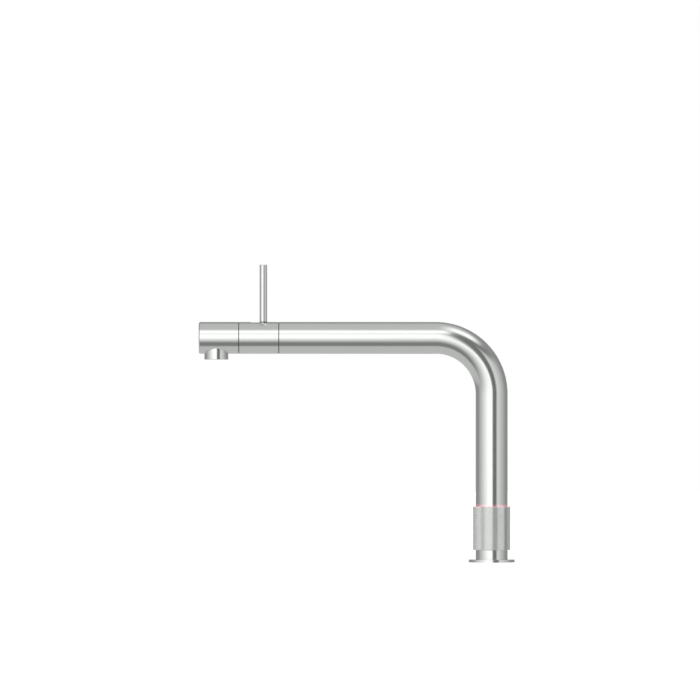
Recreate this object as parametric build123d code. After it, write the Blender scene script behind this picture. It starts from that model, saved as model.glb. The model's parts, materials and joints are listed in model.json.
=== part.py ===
from build123d import *
import os
from math import asin, cos, degrees, radians, sin, sqrt, tan

# Boiling water tap with a push-and-turn ring on its foot and a mixer at the spout's end.
# Millimetres, +Z up. The origin is the centre of the flange's underside, on the deck.
# The spout's arm points along -X.

# Spout tube, seen in the photograph
tube_d = 32.0            # outside diameter of spout, sleeve, nozzle and neck
tube_wall = 1.5
bend_r = 56.0            # centre line of the one bend
arm_height = 224.3       # deck to the arm's axis
arm_reach = 212.8        # column axis to the middle of the rear seam

# Mixer sleeve, seams and nozzle
sleeve_len = 40.0        # middle of one seam to the middle of the other
seam_width = 0.85
seam_depth = 0.4
nozzle_len = 40.0        # middle of the front seam to the closed end
nozzle_end_wall = 2.0
nozzle_edge = 1.0
outlet_d = 24.0
outlet_wall = 1.4
outlet_drop = 5.7        # collar's rim below the arm's underside
outlet_from_end = 17.5
outlet_edge = 0.4

# Lever
lever_d = 7.5
lever_height = 73.2      # arm axis to the rod's top
lever_edge = 0.5
lever_from_seam = 24.5   # front seam to the lever's axis
slot_rear_gap = 0.15     # slot's end behind the upright lever
slot_front_gap = 0.5     # slot's end before the tilted lever
lever_tilt = 30.0        # degrees forward, from closed to fully open
sleeve_turn = 25.0       # degrees each way, from cold to hot

# Flange and neck
flange_d = 46.0
flange_t = 2.8
flange_edge = 0.8
neck_len = 9.4           # neck seen between flange and ring
foot_overhang = 4.0      # the column's foot under the flange, beyond the neck
foot_t = 1.4
gasket_w = 2.0
gasket_t = 0.9

# Control ring
ring_len = 43.5
ring_wall = 1.2
ring_edge = 0.8
ring_chamfer = 0.4       # at the ring's foot
ring_lip = 0.6           # lip that closes the ring's lower end
lip_gap = 0.4            # lip to the neck
liner_wall = 1.39
liner_drop = 0.4         # liner's top below the carriage's
push_travel = 4.5
ring_turn = 90.0         # degrees from off to boiling

# Ring mechanism round the column
neck_under_ring = 9.8    # neck's length inside the ring
spring_channel = 3.0     # neck's shoulder under the spring
spring_len = 9.0
spring_wire_d = 1.0
spring_turns = 3.5
carriage_len = 13.4
carriage_wall = 1.6
carriage_rim_t = 2.0
liner_rim_t = 2.4
clip_t = 1.0
clip_groove = 0.6
clip_opening = 3.0
column_clip_w = 2.0      # clip's width beyond the column
key_w = 2.4
key_h = 0.75
stop_pin_d = 2.0
board_t = 1.2
emitter_count = 8
emitter_w = 1.6
emitter_t = 0.8
guide_web = 1.8
guide_foot_w = 1.6
guide_recess = 0.6       # light ring's top below the ring's mouth
sensor_h = 7.0
sensor_t = 0.9
sensor_arc = 76.0        # degrees of the neck that the sensor board covers
magnet_d = 3.0
magnet_t = 1.1
magnet_step = 24.0       # degrees between the two magnets

# Swivel between column and spout
bush_wall = 2.4
bush_len = 16.0
bush_rim_t = 1.2
bush_spacing = 47.0      # lower bush's foot to upper bush's foot
upper_bush_len = 14.0
column_wall = 1.8
column_top_gap = 4.0     # column's end above the upper bush
swivel_half = 150.0      # degrees each way to the stop
stop_lug_arc = 12.0
stop_lug_h = 1.8
swivel_seal_d = 3.1
seal_side_gap = 0.25     # swivel seal in its groove, each side
hose_clear = 0.8
hose_gap = 1.35
hose_wall = 1.25

# Fixing under the deck
worktop_t = 30.0
shank_d = 32.0
shank_len = 62.0
shank_wall = 2.7
spigot_len = 9.0
spigot_wall = 2.0        # neck's wall round the shank's spigot
shank_web = 6.0
washer_d = 48.0
rubber_t = 3.0
washer_t = 2.0
nut_t = 8.0
nut_flats = 41.0
port_d = 8.92            # thread bore of the supply ports
port_depth = 10.0        # thickness of the plate that they are tapped in
port_gasket_t = 1.0
manifold_t = 5.0
plate_recess = 1.0       # port plate's face inside the shank's end
nipple_len = 6.0
nipple_wall = 0.85
grommet_d = 4.4
grommet_bore_d = 2.6
grommet_rim_w = 0.6
grommet_rim_t = 0.8
manifold_seal_d = 1.7

# Mixer core and its ball-lever cartridge
core_in_spout = 16.4
core_in_nozzle = 8.8
pocket_wall = 0.6        # thinnest wall of the core beside the cartridge
cartridge_w = 16.1
cartridge_wall = 0.9
cartridge_corner = 2.5
disc_corner = 1.0
slide_corner = 0.6
boss_corner = 0.4
boss_wall = 0.6          # driver's wall round the tip's socket
way_d = 1.8              # water's ways through base and lower disc
inlet_way_x = 1.5        # cold and hot ways, from the pivot
inlet_way_y = 2.5
mixed_way_x = -1.0
hollow_half = 1.7        # hollow of the upper disc
hollow_edge = 0.7
hollow_rear = -0.2
port_seal_d = 2.9
port_seal_bore_d = 1.7
base_t = 1.3
fixed_disc_t = 1.2
moving_disc_t = 1.3
driver_flange_t = 0.6
carrier_t = 2.0
carrier_bar = 1.2
tip_d = 2.6
tip_neck_d = 1.8
tip_play = 0.4
stem_d = 4.0
stem_in_rod = 7.0
collar_d = 6.4
collar_t = 1.5
dome_gap = 1.48          # sleeve's bore to the dome
dome_t = 1.0
dome_half = 50.0         # degrees from the lever's axis to the dome's rim
saddle_drop = 0.5
seat_h = 1.9
cap_t = 1.75
ball_seal_d = 1.0
core_seal_d = 1.7
drag_from_seam = 5.0     # front seam to the drag ring
hose_socket = 8.0

# Outlet
aerator_wall = 1.4
aerator_h = 9.4
aerator_recess = 0.3
mesh_t = 0.5
mesh_depth = 1.1
jet_d = 6.0
jet_bore_d = 3.2
outlet_seal_d = 1.6
chamber_h = 5.0          # space above the aerator
chamber_ledge = 3.0
mixed_way_d = 3.0        # mixed water's way through the nozzle

# Clearances
press = 0.03             # liner in the ring
fit = 0.05               # pieces of one body, pushed together
run = 0.08               # shaft in its bearing
side_gap = 0.2           # lever in its slot
face_gap = 0.1           # flat faces that pass each other
guide_gap = 0.3          # pieces that stay clear of each other

# Heights and radii that follow
tube_r = tube_d / 2
tube_in = tube_r - tube_wall
neck_r = tube_r
neck_top = flange_t + neck_len
liner_in = neck_r + run
liner_out = liner_in + liner_wall
ring_in = liner_out + press
ring_out = ring_in + ring_wall
ring_top = neck_top + ring_len
shoulder_low = neck_top + neck_under_ring
journal_r = neck_r - spring_channel
upper_r = tube_in - fit - bush_wall - fit
bore_r = upper_r - column_wall
hose_r = (bore_r - hose_clear - hose_gap / sqrt(3)) / (1 + 2 / sqrt(3))
hose_pitch = (2 * hose_r + hose_gap) / sqrt(3)
hose_angles = (0, 120, 240)
spigot_r = neck_r - spigot_wall
shank_r = shank_d / 2
shank_in = shank_r - shank_wall
plate_low = plate_recess - shank_len
plate_top = plate_low + port_depth
manifold_low = plate_top + port_gasket_t
manifold_top = manifold_low + manifold_t
carriage_low = shoulder_low + spring_len
carriage_top = carriage_low + carriage_len
column_clip_low = carriage_top + face_gap
board_low = column_clip_low + clip_t
emitter_low = board_low + board_t
guide_low = emitter_low + emitter_t + face_gap
guide_web_top = guide_low + guide_web
shoulder_high = guide_web_top + guide_recess
spout_foot = shoulder_high + bush_rim_t
upper_bush_low = spout_foot + bush_spacing
column_top = upper_bush_low + upper_bush_len + column_top_gap
rear_seam = arm_reach
front_seam = rear_seam + sleeve_len
nozzle_end = front_seam + nozzle_len
outlet_reach = nozzle_end - outlet_from_end
lever_reach = front_seam - lever_from_seam
core_r = tube_in + face_gap
sleeve_in = core_r + run
plug_r = tube_in - fit
rim_r = liner_in - side_gap
drag_seal_reach = front_seam - drag_from_seam
nozzle_seal_reach = front_seam + (seam_width + core_in_nozzle) / 2

# Cartridge: its height and width come from the core's round section, heights from the pivot
half_w = cartridge_w / 2
cartridge_depth = sqrt((core_r - pocket_wall) ** 2 - half_w ** 2)
disc_face = -cartridge_depth + base_t + fixed_disc_t
driver_low = disc_face + moving_disc_t
driver_high = driver_low + driver_flange_t
carrier_low = driver_high + face_gap
carrier_high = carrier_low + carrier_t
boss_top = carrier_high + side_gap
ball_r = -boss_top - guide_gap
seat_r = ball_r + fit
tip_r = tip_d / 2
tip_arm = -driver_low - face_gap - tip_r
flow_travel = tip_arm * sin(radians(lever_tilt))
mix_travel = tip_arm * sin(radians(sleeve_turn))
inner_half = half_w - cartridge_wall
disc_half = inner_half - mix_travel - guide_gap
boss_half = tip_r + tip_play + boss_wall
chamber_front = -disc_half - guide_gap
chamber_rear = disc_half + flow_travel + guide_gap
dome_out = sleeve_in - dome_gap
rod_foot = dome_out + fit
stem_top = rod_foot + stem_in_rod

# Outlet, heights from the arm's axis
outlet_bore = outlet_d / 2 - outlet_wall
outlet_rim = -tube_r - outlet_drop
aerator_low = outlet_rim + aerator_recess
aerator_top = aerator_low + aerator_h
seat_top = aerator_top + outlet_seal_d + fit
chamber_top = aerator_top + chamber_h


# A turned shape: an outline of (radius, height) points spun about Z
def turned(*outline):
    return revolve(Plane.XZ * make_face(Polyline(*outline, close=True)), Axis.Z)


# A round tube or, with no bore, a disc
def ring(outer, inner, low, high):
    if inner <= 0:
        return turned((0, low), (outer, low), (outer, high), (0, high))
    return turned((inner, low), (outer, low), (outer, high), (inner, high))


# Part of a ring, from one angle to another, in degrees about Z
def sector(outer, inner, low, high, start, end):
    outline = Polyline((inner, low), (outer, low), (outer, high), (inner, high), close=True)
    face = Rot(0, 0, start) * (Plane.XZ * make_face(outline))
    return revolve(face, Axis.Z, revolution_arc=end - start)


# A seal of round section, lying flat at a height
def seal(centre_r, section_d, height):
    return Pos(0, 0, height) * Torus(centre_r, section_d / 2)


# A point on a circle about Z
def polar(radius, angle, height=0.0):
    return (radius * cos(radians(angle)), radius * sin(radians(angle)), height)


# Upright shapes laid along the arm: their height becomes the reach and their X points up
def on_arm(shape):
    return Pos(0, 0, arm_height) * Rot(0, -90, 0) * shape


# Shapes drawn about the lever's pivot, moved there
def at_pivot(shape):
    return Pos(-lever_reach, 0, arm_height) * shape


# An upright block with rounded corners, drawn about the pivot
def block(x_low, x_high, half_y, low, high, corner):
    outline = RectangleRounded(x_high - x_low, 2 * half_y, corner)
    return Pos((x_low + x_high) / 2, 0, low) * extrude(outline, high - low)


# The way from the column into the arm, shifted out of the middle by up and side
def spout_path(start, end_reach, up=0.0, side=0.0):
    return FilletPolyline(
        (up, side, start),
        (up, side, arm_height + up),
        (-end_reach, side, arm_height + up),
        radius=bend_r + up,
    )


# A pipe swept along that way
def spout_pipe(start, end_reach, outer, inner, up=0.0, side=0.0):
    path = spout_path(start, end_reach, up, side)
    place = Pos(up, side, start)
    return sweep(place * Circle(outer), path) - sweep(place * Circle(inner), path)


# The flange round the column's foot
def make_base_flange():
    flange = turned(
        (neck_r + fit, flange_t),
        (neck_r + fit, foot_t + fit),
        (neck_r + foot_overhang + fit, foot_t + fit),
        (neck_r + foot_overhang + fit, 0),
        (flange_d / 2, 0),
        (flange_d / 2, flange_t),
    )
    rims = flange.edges().filter_by(GeomType.CIRCLE).group_by(SortBy.RADIUS)[-1]
    return fillet(rims.group_by(Axis.Z)[-1], flange_edge)


# Rubber gasket in the foot's underside, flush with the deck
def make_deck_gasket():
    middle = neck_r + foot_overhang / 2
    return ring(middle + gasket_w / 2 - fit, middle - gasket_w / 2 + fit, 0, gasket_t - fit)


# Neck, ring journal and swivel journal in one turned piece
def make_base_column():
    foot_r = neck_r + foot_overhang
    column = turned(
        (bore_r, spigot_len),
        (spigot_r, spigot_len),
        (spigot_r, 0),
        (foot_r, 0),
        (foot_r, foot_t),
        (neck_r, foot_t),
        (neck_r, shoulder_low),
        (journal_r, shoulder_low),
        (journal_r, shoulder_high),
        (upper_r, shoulder_high),
        (upper_r, column_top),
        (bore_r, column_top),
    )
    middle = neck_r + foot_overhang / 2
    column -= ring(middle + gasket_w / 2, middle - gasket_w / 2, 0, gasket_t)
    column -= ring(journal_r + 1, journal_r - clip_groove, column_clip_low, board_low)
    column -= seal_groove()
    column -= snap_groove()
    column -= sensor_pocket()
    column += column_key(key_w, key_h, carriage_low - push_travel, carriage_top)
    column += sector(
        journal_r, upper_r - 1, shoulder_high - 1, shoulder_high + stop_lug_h,
        -stop_lug_arc / 2, stop_lug_arc / 2,
    )
    return column


# Groove for the swivel seal, half way between the bushes
def seal_groove():
    middle = (spout_foot + bush_len + upper_bush_low) / 2
    half = swivel_seal_d / 2 + seal_side_gap
    return ring(upper_r + 1, tube_in - swivel_seal_d - 2 * fit, middle - half, middle + half)


# Groove that the lower bush snaps into
def snap_groove(play=fit):
    middle = spout_foot + bush_len / 2
    half = clip_t / 2 + play
    return ring(upper_r + 1, upper_r - clip_groove - play, middle - half, middle + half)


# Pocket in the back of the neck, under the ring, for the sensor board
def sensor_pocket():
    low = neck_top + (neck_under_ring - sensor_h) / 2
    half = sensor_arc / 2 + 1
    floor = neck_r - 2 * sensor_t
    return sector(neck_r + 1, floor, low - 2 * fit, low + sensor_h + 2 * fit, 90 - half, 90 + half)


# Rib that keeps the carriage from turning
def column_key(width, height, low, high):
    depth = height + 1
    key = Box(depth, width, high - low)
    return Pos(-journal_r - height + depth / 2, 0, (low + high) / 2) * key


# Hollow threaded shank, screwed into the column from below
def make_threaded_shank():
    spigot = spigot_r - fit
    return turned(
        (shank_in, -shank_len),
        (shank_r, -shank_len),
        (shank_r, 0),
        (spigot, 0),
        (spigot, spigot_len - fit),
        (bore_r + side_gap, spigot_len - fit),
        (bore_r + side_gap, -shank_web),
        (shank_in, -shank_web),
    )


# Rubber washer, steel washer and hexagon nut that clamp the worktop
def make_rubber_washer():
    return ring(washer_d / 2, shank_r + guide_gap, -worktop_t - rubber_t, -worktop_t)


def make_clamp_washer():
    low = -worktop_t - rubber_t - washer_t
    return ring(washer_d / 2, shank_r + guide_gap, low, low + washer_t)


def make_fixing_nut():
    high = -worktop_t - rubber_t - washer_t
    hexagon = extrude(RegularPolygon(nut_flats / 2, 6, major_radius=False), nut_t)
    corner = nut_flats / 2 / cos(radians(30))
    bevel = corner - nut_flats / 2
    cone = turned(
        (0, 0), (corner - bevel, 0), (corner + 1, (bevel + 1) / 2), (corner + 1, nut_t), (0, nut_t)
    )
    return Pos(0, 0, high - nut_t) * (hexagon & cone) - ring(shank_r + fit, 0, high - nut_t, high)


# Brass plate in the shank's end with the three tapped supply ports
def make_port_plate():
    return ported_disc(plate_low, plate_top)


# Flat rubber gasket that seals the ports to the manifold's ways
def make_port_gasket():
    return ported_disc(plate_top, manifold_low)


def ported_disc(low, high):
    disc = ring(shank_in - fit, grommet_d / 2, low, high)
    for angle in hose_angles:
        port = Cylinder(port_d / 2, high - low)
        disc -= Pos(polar(port_ring_radius(), angle, (low + high) / 2)) * port
    return disc


# The ports' circle lies midway between the grommet and the shank's bore
def port_ring_radius():
    return (shank_in - fit + grommet_d / 2) / 2


# Brass manifold with a nipple for each hose
def make_inlet_manifold():
    low, high = manifold_low, manifold_top
    plug = ring(shank_in - fit, grommet_d / 2, low, high)
    plug -= ring(shank_in, shank_in - manifold_seal_d - fit, *manifold_groove())
    nipple_r = hose_r - hose_wall - fit
    for angle in hose_angles:
        plug += Pos(polar(hose_pitch, angle, high + nipple_len / 2)) * Cylinder(nipple_r, nipple_len)
    for angle in hose_angles:
        way_len = high + nipple_len - low
        way = Cylinder(nipple_r - nipple_wall, way_len)
        plug -= Pos(polar(hose_pitch, angle, low + way_len / 2)) * way
    return plug


def manifold_groove():
    middle = (manifold_low + manifold_top) / 2
    return middle - manifold_seal_d / 2 - fit, middle + manifold_seal_d / 2 + fit


def make_manifold_seal():
    low, high = manifold_groove()
    return seal(shank_in - fit / 2 - manifold_seal_d / 2, manifold_seal_d - fit, (low + high) / 2)


# Rubber bush that the control cable leaves by
def make_cable_grommet():
    bore = grommet_bore_d / 2
    body = ring(grommet_d / 2 - fit, bore, plate_low, manifold_top)
    return body + ring(grommet_d / 2 + grommet_rim_w, bore, plate_low - grommet_rim_t, plate_low)


# Hose from the manifold through column and spout to the mixer core
def make_hose(angle):
    up, side, start = polar(hose_pitch, angle, manifold_top + fit)
    end = rear_seam - core_in_spout + hose_socket - fit
    return spout_pipe(start, end, hose_r, hose_r - hose_wall, up, side)


# Curved sensor board in the neck's pocket
def make_sensor_board():
    low = neck_top + (neck_under_ring - sensor_h) / 2
    floor = neck_r - 2 * sensor_t + fit
    half = sensor_arc / 2
    return sector(floor + sensor_t, floor, low, low + sensor_h, 90 - half, 90 + half)


# Compression spring between the neck's shoulder and the carriage
def make_push_spring():
    wire = spring_wire_d / 2
    radius = journal_r + key_h + guide_gap + wire
    height = spring_len - spring_wire_d - 2 * fit
    coil = Helix(height / spring_turns, height, radius)
    section = Plane(origin=coil @ 0, z_dir=coil % 0) * Circle(wire)
    return Pos(0, 0, shoulder_low + wire + fit) * sweep(section, coil, is_frenet=True)


# Carriage that slides on the column and carries the ring
def make_push_carriage():
    inner = journal_r + run
    outer = inner + carriage_wall
    carriage = ring(outer, inner, carriage_low, carriage_top)
    carriage += ring(rim_r, inner, carriage_low, carriage_low + carriage_rim_t)
    low = carriage_clip_low()
    carriage -= ring(outer + 1, outer - clip_groove, low, low + clip_t)
    carriage -= column_key(key_w + 2 * run, key_h + run, carriage_low - 1, carriage_top + 1)
    return carriage - stop_pin(fit)


def carriage_clip_low():
    return carriage_low + carriage_rim_t + liner_rim_t + 2 * fit


def make_carriage_clip():
    low = carriage_clip_low()
    inner = journal_r + run + carriage_wall - clip_groove
    clip = ring(rim_r, inner + fit, low + fit, low + clip_t - fit)
    return clip - Pos(0, -rim_r, low) * Box(clip_opening, 2 * rim_r, 4 * clip_t)


# Radial pin whose head runs in the liner's slot, shown with play for its hole
def stop_pin(play=0.0):
    start = journal_r + run + guide_gap
    length = liner_out - guide_gap - start
    height = stop_pin_height()
    return Pos(start + length / 2, 0, height) * Rot(0, 90, 0) * Cylinder(stop_pin_d / 2 + play, length)


def stop_pin_height():
    return (carriage_clip_low() + clip_t + carriage_top) / 2


# Plastic liner pressed in the ring, turning on neck and carriage
def make_ring_liner():
    low = neck_top + ring_lip + fit
    liner = ring(liner_out, liner_in, low, carriage_top - liner_drop)
    rim_low = carriage_low + carriage_rim_t + fit
    carriage_out = journal_r + run + carriage_wall
    liner += ring(liner_out, carriage_out + run, rim_low, rim_low + liner_rim_t - fit)
    half = degrees(asin((stop_pin_d / 2 + fit) / liner_in))
    height = stop_pin_height()
    reach = stop_pin_d / 2 + face_gap
    liner -= sector(ring_out, liner_in - 1, height - reach, height + reach, -ring_turn - half, half)
    for shift in (-0.5, 0.5):
        liner -= magnet(90 + shift * magnet_step, magnet_d / 2 + fit, liner_wall + 1)
    return liner


# Round magnet set in the liner from outside
def magnet(angle, radius, depth):
    height = neck_top + neck_under_ring / 2
    start = liner_out - magnet_t - fit
    place = Rot(0, 0, angle) * Pos(start + depth / 2, 0, height) * Rot(0, 90, 0)
    return place * Cylinder(radius, depth)


def make_ring_magnets():
    return Part() + [magnet(90 + s * magnet_step, magnet_d / 2, magnet_t) for s in (-0.5, 0.5)]


# Control ring: the knurl is left to the finish
def make_control_ring():
    body = turned(
        (neck_r + lip_gap, neck_top),
        (ring_out, neck_top),
        (ring_out, ring_top),
        (ring_in, ring_top),
        (ring_in, neck_top + ring_lip),
        (neck_r + lip_gap, neck_top + ring_lip),
    )
    rims = body.edges().filter_by(GeomType.CIRCLE).group_by(SortBy.RADIUS)[-1]
    body = fillet(rims.group_by(Axis.Z)[-1], ring_edge)
    rims = body.edges().filter_by(GeomType.CIRCLE).group_by(SortBy.RADIUS)[-1]
    return chamfer(rims.group_by(Axis.Z)[0], ring_chamfer)


# Open ring in the column's groove, under the light board
def make_column_clip():
    outer = journal_r + column_clip_w
    clip = ring(outer, journal_r - clip_groove + fit, column_clip_low, board_low)
    return clip - Pos(0, -journal_r, board_low) * Box(clip_opening, 2 * journal_r, 4 * clip_t)


def make_light_board():
    return ring(ring_in - guide_gap, journal_r + fit, board_low, emitter_low)


def make_light_emitters():
    radius = ring_in - guide_gap - face_gap - emitter_w / 2
    chips = []
    for step in range(emitter_count):
        turn = Rot(0, 0, 360 / emitter_count * (step + 0.5))
        chip = Box(emitter_w, emitter_w, emitter_t)
        chips.append(turn * Pos(radius, 0, emitter_low + emitter_t / 2) * chip)
    return Part() + chips


# Clear ring that leads the light up to the ring's mouth
def make_light_ring():
    inner = journal_r + fit
    foot = inner + guide_foot_w
    outer = ring_in - side_gap
    wall_in = tube_r + guide_gap
    top = ring_top - guide_recess
    return turned(
        (inner, emitter_low),
        (foot, emitter_low),
        (foot, guide_low),
        (outer, guide_low),
        (outer, top),
        (wall_in, top),
        (wall_in, guide_web_top),
        (inner, guide_web_top),
    )


# Bush with a rim under the spout's foot, a snap rib and the swivel's stop
def make_lower_bush():
    inner = upper_r + fit
    outer = tube_in - fit
    bush = ring(outer, inner, shoulder_high, spout_foot + bush_len)
    bush += ring(tube_r - face_gap, inner, shoulder_high, spout_foot)
    middle = spout_foot + bush_len / 2
    half = clip_t / 2
    bush += ring(inner + 1, upper_r - clip_groove, middle - half, middle + half)
    stop = 180 - swivel_half - stop_lug_arc / 2
    relief = sector(
        journal_r + run, bore_r, shoulder_high, shoulder_high + stop_lug_h + 2 * face_gap,
        stop - 180, 180 - stop,
    )
    return bush - relief


def make_upper_bush():
    return ring(tube_in - fit, upper_r + fit, upper_bush_low, upper_bush_low + upper_bush_len)


def make_swivel_seal():
    middle = (spout_foot + bush_len + upper_bush_low) / 2
    return seal(tube_in - fit - swivel_seal_d / 2, swivel_seal_d, middle)


def make_spout_tube():
    return spout_pipe(spout_foot, rear_seam - seam_width / 2, tube_r, tube_in)


# Dark ring that fills a seam and carries the sleeve's end
def make_glide_ring(seam):
    half = seam_width / 2 - fit
    return on_arm(ring(tube_r - seam_depth, core_r + fit, seam - half, seam + half))


# Brass core through spout, sleeve and nozzle, with the saddle for dome and cartridge
def make_mixer_core():
    start = rear_seam - core_in_spout
    end = front_seam + core_in_nozzle
    rear = rear_seam - seam_width / 2
    front = front_seam + seam_width / 2
    core = on_arm(turned(
        (0, start), (plug_r, start), (plug_r, rear), (core_r, rear),
        (core_r, front), (plug_r, front), (plug_r, end), (0, end),
    ))
    reach = dome_out + side_gap
    core -= at_pivot(Pos(0, 0, core_r - saddle_drop) * Box(2 * reach, 3 * core_r, 2 * core_r))
    core -= at_pivot(cartridge_block(-cartridge_depth, core_r, fit))
    for angle in hose_angles:
        up, side, bottom = polar(hose_pitch, angle, start + hose_socket / 2)
        core -= on_arm(Pos(up, side, bottom) * Cylinder(hose_r + fit, hose_socket))
    core -= on_arm(core_groove(drag_seal_reach, core_r))
    core -= on_arm(core_groove(nozzle_seal_reach, plug_r))
    return core


# Square-sided groove for a seal on the core
def core_groove(reach, surface):
    half = core_seal_d / 2 + face_gap
    return ring(surface + 1, surface - core_seal_d, reach - half, reach + half)


# A block with the cartridge's outline, grown by some play
def cartridge_block(low, high, play=0.0):
    return block(
        chamber_front - cartridge_wall - play,
        chamber_rear + cartridge_wall + play,
        half_w + play,
        low,
        high,
        cartridge_corner,
    )


def cartridge_chamber(low, high, play=0.0):
    corner = cartridge_corner - cartridge_wall
    return block(chamber_front + play, chamber_rear - play, inner_half - play, low, high, corner)


# Ways through the discs and the base: cold, hot and mixed
def port_places():
    return (inlet_way_x, -inlet_way_y), (inlet_way_x, inlet_way_y), (mixed_way_x, 0.0)


def port_holes(radius, low, high):
    hole = Cylinder(radius, high - low)
    return [Pos(x, y, (low + high) / 2) * hole for x, y in port_places()]


def make_cartridge_base():
    low = -cartridge_depth
    base = cartridge_block(low, low + base_t)
    base -= port_holes(way_d / 2, low, low + base_t)
    return at_pivot(base - port_holes(port_seal_d / 2 + fit, low, low + base_t / 2))


def make_port_seals():
    low = -cartridge_depth
    rings = [
        Pos(x, y, 0) * ring(port_seal_d / 2, port_seal_bore_d / 2, low + fit, low + base_t / 2 - fit)
        for x, y in port_places()
    ]
    return at_pivot(Part() + rings)


# Housing with the slides' chamber below and the ball's lower seat above
def make_cartridge_housing():
    low = -cartridge_depth + base_t
    housing = cartridge_block(low, 0)
    housing -= cartridge_chamber(low, -seat_h)
    housing -= Sphere(seat_r)
    return at_pivot(housing - ball_seal_groove())


# Cap that holds the ball down
def make_cartridge_cap():
    return at_pivot(cartridge_block(0, cap_t) - Sphere(seat_r) - ball_seal_groove())


def ball_seal_groove():
    half = ball_seal_d / 2 + fit
    return ring(seat_r + ball_seal_d + 2 * fit, seat_r - 1, -half, half)


def make_ball_seal():
    return at_pivot(seal(seat_r + ball_seal_d / 2 + fit, ball_seal_d, 0))


# Lower disc, fixed on the base, with the three ways
def make_fixed_disc():
    low = -cartridge_depth + base_t
    disc = cartridge_chamber(low, disc_face, fit)
    return at_pivot(disc - port_holes(way_d / 2, low, disc_face))


# Upper disc, whose hollow joins the inlets with the way out
def make_moving_disc():
    disc = block(-disc_half, disc_half, disc_half, disc_face, driver_low, disc_corner)
    hollow_top = disc_face + moving_disc_t / 2
    hollow = block(-disc_half + hollow_edge, hollow_rear, hollow_half, disc_face, hollow_top, boss_corner)
    return at_pivot(disc - hollow)


# Driver on the upper disc, with the socket for the lever's tip
def make_disc_driver():
    driver = block(-disc_half, disc_half, disc_half, driver_low, driver_high, disc_corner)
    driver += block(-boss_half, boss_half, boss_half, driver_low, boss_top, boss_corner)
    return at_pivot(driver - ring(tip_r + tip_play, 0, driver_low, boss_top))


# Cross slide: it moves along the arm and the driver moves across in its slot
def make_cross_slide():
    half_x = boss_half + fit + carrier_bar
    slide = block(-half_x, half_x, inner_half - face_gap, carrier_low, carrier_high, slide_corner)
    slot_half = boss_half + mix_travel + 2 * face_gap
    slot = block(-boss_half - fit, boss_half + fit, slot_half, carrier_low, carrier_high, boss_corner)
    return at_pivot(slide - slot)


# Ball, stem and drive tip in one turned piece
def make_lever_ball():
    shoulder = sqrt((dome_out - dome_t) ** 2 - (collar_d / 2) ** 2) - fit
    stem = ring(stem_d / 2, 0, 0, stem_top)
    stem += ring(collar_d / 2, 0, shoulder - collar_t, shoulder)
    neck = ring(tip_neck_d / 2, 0, -tip_arm, 0)
    return at_pivot(Sphere(ball_r) + stem + neck + Pos(0, 0, -tip_arm) * Sphere(tip_r))


# Thin dome under the slot that moves with the lever
def make_dust_dome():
    cone_h = dome_out + 1
    shell = Sphere(dome_out) - Sphere(dome_out - dome_t)
    cone = turned((0, 0), (cone_h * tan(radians(dome_half)), cone_h), (0, cone_h))
    return at_pivot((shell & cone) - ring(stem_d / 2 + fit, 0, 0, cone_h))


# Lever rod on the stem
def make_lever_rod():
    rod = ring(lever_d / 2, 0, rod_foot, lever_height)
    rod = fillet(rod.edges().filter_by(GeomType.CIRCLE).group_by(Axis.Z)[-1], lever_edge)
    return at_pivot(rod - ring(stem_d / 2 + fit, 0, rod_foot, stem_top + fit))


# Turning sleeve with the lever's slot
def make_mixer_sleeve():
    half = seam_width / 2
    sleeve = on_arm(ring(tube_r, sleeve_in, rear_seam + half, front_seam - half))
    half_w_slot = lever_d / 2 + side_gap
    rear = half_w_slot + slot_rear_gap
    lean = radians(lever_tilt)
    front = tube_r * tan(lean) + lever_d / 2 / cos(lean) + slot_front_gap
    slot = SlotOverall(front + rear, 2 * half_w_slot)
    cut = Pos((rear - front) / 2, 0, 0) * extrude(slot, tube_r + 1)
    return sleeve - at_pivot(cut)


def make_drag_ring():
    return on_arm(seal(core_r - core_seal_d / 2 - fit / 2, core_seal_d - fit, drag_seal_reach))


def make_nozzle_seal():
    return on_arm(seal(plug_r - core_seal_d / 2 - fit / 2, core_seal_d - fit, nozzle_seal_reach))


# Closed end of the spout with the outlet's collar
def make_nozzle_body():
    start = front_seam + seam_width / 2
    shell = on_arm(ring(tube_r, 0, start, nozzle_end))
    rims = shell.edges().filter_by(GeomType.CIRCLE).group_by(Axis.X)[0]
    shell = fillet(rims, nozzle_edge)
    shell += outlet_cylinder(outlet_d / 2, outlet_rim, 0)
    rim = shell.edges().filter_by(GeomType.CIRCLE).group_by(Axis.Z)[0]
    shell = fillet(rim, outlet_edge)
    shell -= on_arm(ring(tube_in, 0, start, nozzle_end - nozzle_end_wall))
    return shell - outlet_cylinder(outlet_bore, outlet_rim, 0)


# An upright cylinder on the outlet's axis, heights from the arm's axis
def outlet_cylinder(radius, low, high):
    place = Pos(-outlet_reach, 0, arm_height + low)
    return place * ring(radius, 0, 0, high - low)


def outlet_ring(outer, inner, low, high):
    return outlet_cylinder(outer, low, high) - outlet_cylinder(inner, low, high)


# Waterway that fills the nozzle, with the seat of the aerator below
def make_outlet_block():
    start = front_seam + core_in_nozzle + fit
    end = nozzle_end - nozzle_end_wall - fit
    body = on_arm(ring(tube_in - fit, 0, start, end))
    body -= outlet_cylinder(outlet_bore, -tube_r, seat_top)
    body -= outlet_cylinder(outlet_bore - chamber_ledge, -tube_r, chamber_top)
    mixed_way = Pos((seat_top + chamber_top) / 2, 0, 0) * ring(mixed_way_d / 2, 0, start, outlet_reach)
    boiling_way = ring(jet_bore_d / 2, 0, start, outlet_reach)
    return body - on_arm(mixed_way + boiling_way) - outlet_cylinder(jet_bore_d / 2, chamber_top, 0)


def make_aerator_housing():
    outer = outlet_bore - fit
    return outlet_ring(outer, outer - aerator_wall, aerator_low, aerator_top)


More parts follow.
